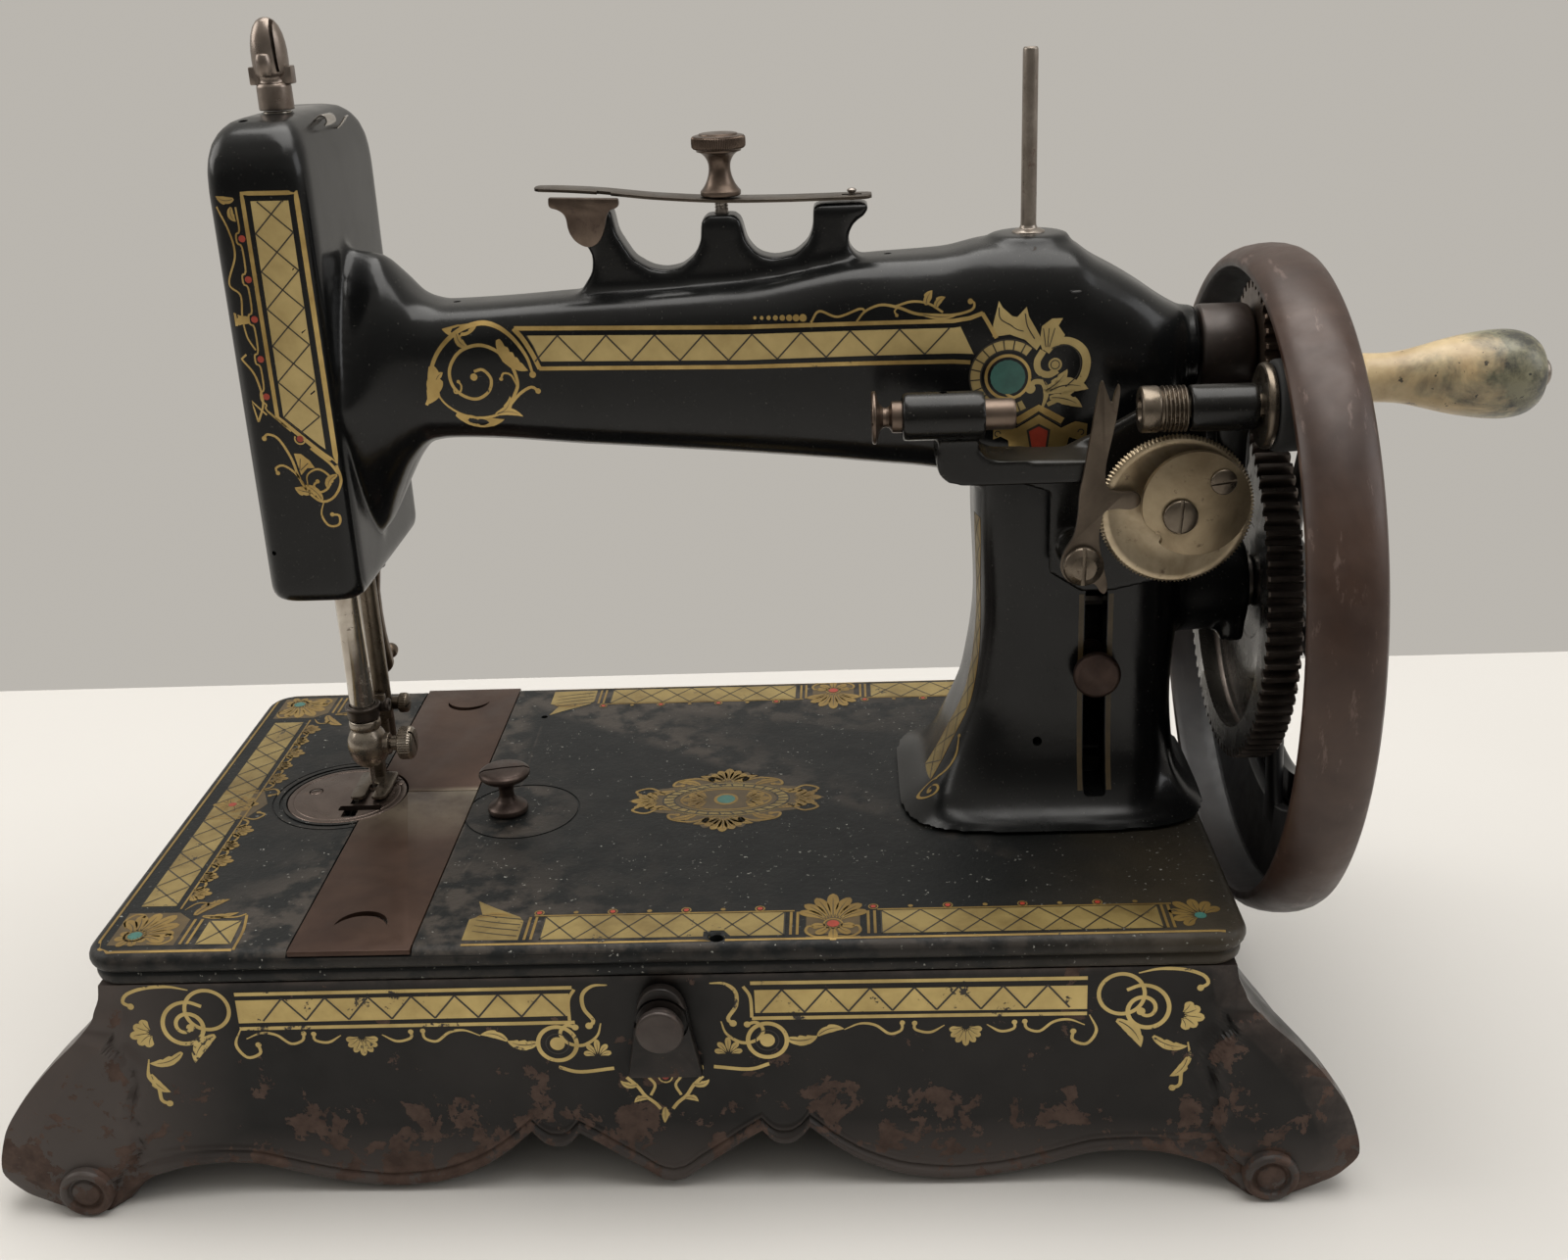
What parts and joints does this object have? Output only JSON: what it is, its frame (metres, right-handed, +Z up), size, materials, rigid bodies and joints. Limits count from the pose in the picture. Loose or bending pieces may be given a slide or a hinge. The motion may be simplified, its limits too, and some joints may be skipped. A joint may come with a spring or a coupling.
{
  "type": "hand-crank sewing machine",
  "caption": "Antique hand-crank sewing machine: high arm with flat head over a decorated bed on a scrolled cast base, spoked geared hand wheel, transverse slide plates and bobbin winder.",
  "frame": {"origin": "under the middle of the outer box, at the height of the feet's flat undersides (table level)", "axes": "+X along the bed from the needle towards the hand wheel, +Y from the front apron with the latch to the back, +Z up"},
  "size_m": [0.441, 0.207, 0.3173],
  "materials": {
    "japanned_base": "worn black japan enamel, paint chips on the apron, gold transfers",
    "japanned_bed": "pitted dull black enamel with gold transfers",
    "japanned_arm": "glossy black japan enamel with gold transfers",
    "slide_steel": "brown patina, worn bright at the edges",
    "plate_steel": "polished, stained",
    "aged_nickel": "aged nickel plate, brown bloom",
    "plain_steel": "oiled bare steel, light rust",
    "worn_knob": "rust-brown, worn",
    "gear_iron": "machined cast iron with dark grease",
    "wheel_paint": "worn brown-mauve paint on the rim, black inside",
    "black_ring": "glossy black enamel",
    "handle_wood": "cream paint worn to dark wood at the end",
    "winder_brass": "tarnished, dull",
    "winder_rubber": "matt black tyre"
  },
  "bodies": {
    "machine": {"base_casting": "japanned_base", "latch_plate": "japanned_base", "bed": "japanned_bed", "needle_plate": "plate_steel", "needle_plate_screw_left": "plate_steel", "needle_plate_screw_right": "plate_steel", "arm_casting": "japanned_arm", "head_cover": "japanned_arm", "tension_spring": "aged_nickel", "tension_stud": "plain_steel", "thread_bracket": "aged_nickel", "spring_peg": "plain_steel", "spool_pin": "plain_steel", "thread_tab_front": "plain_steel", "thread_tab_rear": "plain_steel", "shaft_collar": "japanned_arm", "wheel_stud": "plain_steel", "wheel_nut": "plain_steel", "winder_bracket": "japanned_arm", "cam_pivot_screw": "plain_steel", "fork_pivot_screw": "plain_steel", "shuttle_pivot": "plain_steel", "lever_stud": "plain_steel", "lifter_stud": "plain_steel"},
    "wheel": {"hand_wheel": "wheel_paint", "spur_gear": "gear_iron", "crank_ring": "black_ring", "handle_pin": "plain_steel"},
    "grip": {"crank_handle": "handle_wood"},
    "shaft": {"arm_shaft": "plain_steel", "pinion": "plain_steel", "needle_cam": "plain_steel", "feed_cam": "plain_steel"},
    "spindle": {"winder_spindle": "plain_steel", "winder_pulley": "winder_rubber"},
    "traverse": {"worm_wheel": "winder_brass", "winder_cam": "winder_brass", "cam_pin_screw": "plain_steel"},
    "fork": {"thread_fork": "aged_nickel"},
    "plunger": {"winder_plunger": "aged_nickel"},
    "needle_slide": {"needle_bar": "aged_nickel", "take_up_guide": "aged_nickel", "needle_clamp": "aged_nickel", "clamp_thumbscrew": "aged_nickel", "needle": "plain_steel"},
    "presser": {"presser_bar": "aged_nickel", "presser_foot": "aged_nickel", "foot_screw": "aged_nickel"},
    "lifter": {"presser_lifter": "aged_nickel"},
    "regulator": {"stitch_knob": "worn_knob"},
    "tension": {"tension_nut": "aged_nickel"},
    "latch": {"latch_knob": "japanned_base"},
    "cloth_guide": {"cloth_guide_screw": "worn_knob"},
    "front_slide": {"slide_plate_front": "slide_steel"},
    "rear_slide": {"slide_plate_rear": "slide_steel"},
    "shuttle_lever": {"shuttle_arm": "plain_steel", "shuttle_carrier": "plain_steel", "shuttle": "plain_steel"},
    "feed": {"feed_bar": "plain_steel"},
    "rocker": {"rock_lever": "plain_steel"}
  },
  "joints": [
    {"name": "wheel_turn", "type": "hinge", "parent": "machine", "child": "wheel", "pos_m": [0.1497, 0.00305, 0.1447], "axis": [1, 0, 0], "continuous": true},
    {"name": "grip_turn", "type": "hinge", "parent": "wheel", "child": "grip", "pos_m": [0.1897, -0.01595, 0.211], "axis": [1, 0, 0], "continuous": true},
    {"name": "shaft_turn", "type": "hinge", "parent": "machine", "child": "shaft", "pos_m": [0.0097, 0.00305, 0.2165], "axis": [1, 0, 0], "continuous": true},
    {"name": "spindle_turn", "type": "hinge", "parent": "machine", "child": "spindle", "pos_m": [0.1247, -0.04295, 0.211], "axis": [1, 0, 0], "continuous": true},
    {"name": "traverse_turn", "type": "hinge", "parent": "machine", "child": "traverse", "pos_m": [0.114, -0.04195, 0.1826], "axis": [0, 1, 0], "continuous": true},
    {"name": "fork_swing", "type": "hinge", "parent": "machine", "child": "fork", "pos_m": [0.0886, -0.04475, 0.1684], "axis": [0, 1, 0], "range_deg": [-24, 5]},
    {"name": "plunger_slide", "type": "slide", "parent": "machine", "child": "plunger", "axis": [1, 0, 0], "range_m": [-0.008, 0], "stiffness_N_per_m": 60, "springref_m": 0.01},
    {"name": "needle_bar_slide", "type": "slide", "parent": "machine", "child": "needle_slide", "axis": [0, 0, 1], "range_m": [0, 0.034]},
    {"name": "presser_slide", "type": "slide", "parent": "machine", "child": "presser", "axis": [0, 0, 1], "range_m": [0, 0.006], "stiffness_N_per_m": 200, "springref_m": -0.01},
    {"name": "lifter_turn", "type": "hinge", "parent": "machine", "child": "lifter", "pos_m": [-0.1322, 0.03005, 0.15], "axis": [0, -1, 0], "range_deg": [0, 75]},
    {"name": "stitch_slide", "type": "slide", "parent": "machine", "child": "regulator", "axis": [0, 0, 1], "range_m": [-0.012, 0.02]},
    {"name": "tension_turn", "type": "hinge", "parent": "machine", "child": "tension", "pos_m": [-0.0091, 0.00305, 0.274], "axis": [0, 0, 1], "range_deg": [-180, 180]},
    {"name": "latch_turn", "type": "hinge", "parent": "machine", "child": "latch", "pos_m": [-0.0303, -0.09995, 0.0575], "axis": [0, 1, 0], "range_deg": [-90, 90]},
    {"name": "cloth_guide_turn", "type": "hinge", "parent": "machine", "child": "cloth_guide", "pos_m": [-0.085, -0.01435, 0.088], "axis": [0, 0, 1], "range_deg": [-180, 180]},
    {"name": "front_slide_pull", "type": "slide", "parent": "machine", "child": "front_slide", "axis": [0, -1, 0], "range_m": [0, 0.06]},
    {"name": "rear_slide_pull", "type": "slide", "parent": "machine", "child": "rear_slide", "axis": [0, 1, 0], "range_m": [0, 0.06]},
    {"name": "shuttle_swing", "type": "hinge", "parent": "machine", "child": "shuttle_lever", "pos_m": [0.0077, -0.00555, 0.07], "axis": [0, 0, 1], "range_deg": [-12, 12]},
    {"name": "feed_slide", "type": "slide", "parent": "machine", "child": "feed", "axis": [0, 1, 0], "range_m": [-0.002, 0.002]},
    {"name": "rocker_swing", "type": "hinge", "parent": "machine", "child": "rocker", "pos_m": [0.0927, 0.00305, 0.14], "axis": [1, 0, 0], "range_deg": [-1.5, 1.5]}
  ],
  "couplings": [
    {"joint": "shaft_turn", "follows": "wheel_turn", "ratio": -2.8571},
    {"joint": "traverse_turn", "follows": "spindle_turn", "ratio": 0.0083333}
  ]
}
